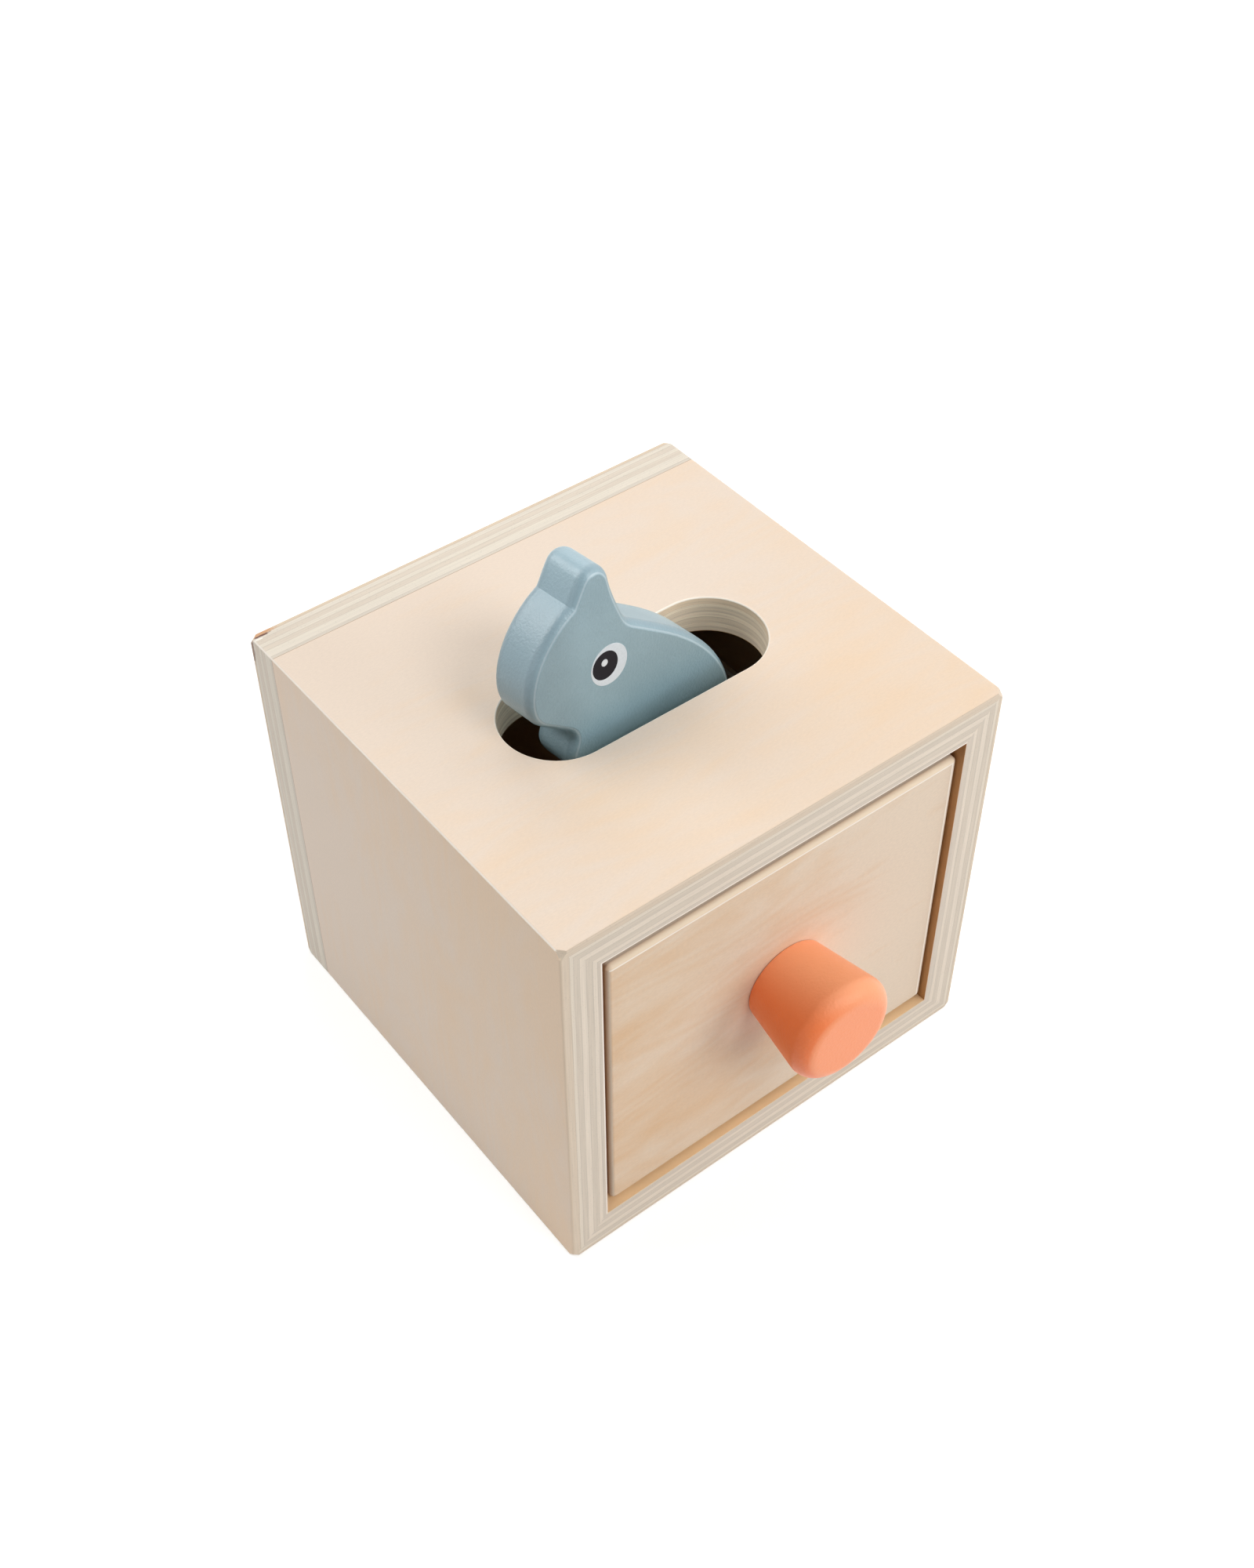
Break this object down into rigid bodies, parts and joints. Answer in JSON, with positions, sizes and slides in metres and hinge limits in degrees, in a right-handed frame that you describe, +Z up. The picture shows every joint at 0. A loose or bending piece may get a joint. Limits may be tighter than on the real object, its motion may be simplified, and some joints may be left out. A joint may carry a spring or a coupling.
{
  "type": "object permanence box",
  "caption": "Wooden toy box with a round-ended slot in its top, a drawer with a knob in its front, and a flat wooden animal that is posted through the slot.",
  "frame": {"origin": "middle of the box's underside, on the surface that it stands on, halfway between its front and its back without the knob", "axes": "+Z up, -Y towards the front, where the drawer opens, +X to the right as seen from the front"},
  "size_m": [0.12, 0.1369, 0.1502],
  "materials": {
    "plywood": "birch plywood, sanded, clear matt lacquer",
    "drawer_wood": "sanded plywood, clear matt lacquer",
    "orange_paint": "turned wood, satin orange paint",
    "screw_steel": "zinc plated",
    "blue_grey_paint": "solid wood, satin blue-grey paint, printed eyes"
  },
  "bodies": {
    "box": {"top_panel": "plywood", "bottom_panel": "plywood", "left_panel": "plywood", "right_panel": "plywood", "back_panel": "plywood"},
    "drawer": {"drawer_front": "drawer_wood", "drawer_left_side": "drawer_wood", "drawer_right_side": "drawer_wood", "drawer_back": "drawer_wood", "drawer_bottom": "drawer_wood", "knob": "orange_paint", "knob_screw": "screw_steel"},
    "animal": {"animal_figure": "blue_grey_paint"}
  },
  "joints": [
    {"name": "drawer_slide", "type": "slide", "parent": "box", "child": "drawer", "axis": [0, -1, 0], "range_m": [0, 0.08]},
    {"name": "animal_lift", "type": "slide", "parent": "box", "child": "animal", "axis": [0, 0, 1], "range_m": [0, 0.085]}
  ]
}
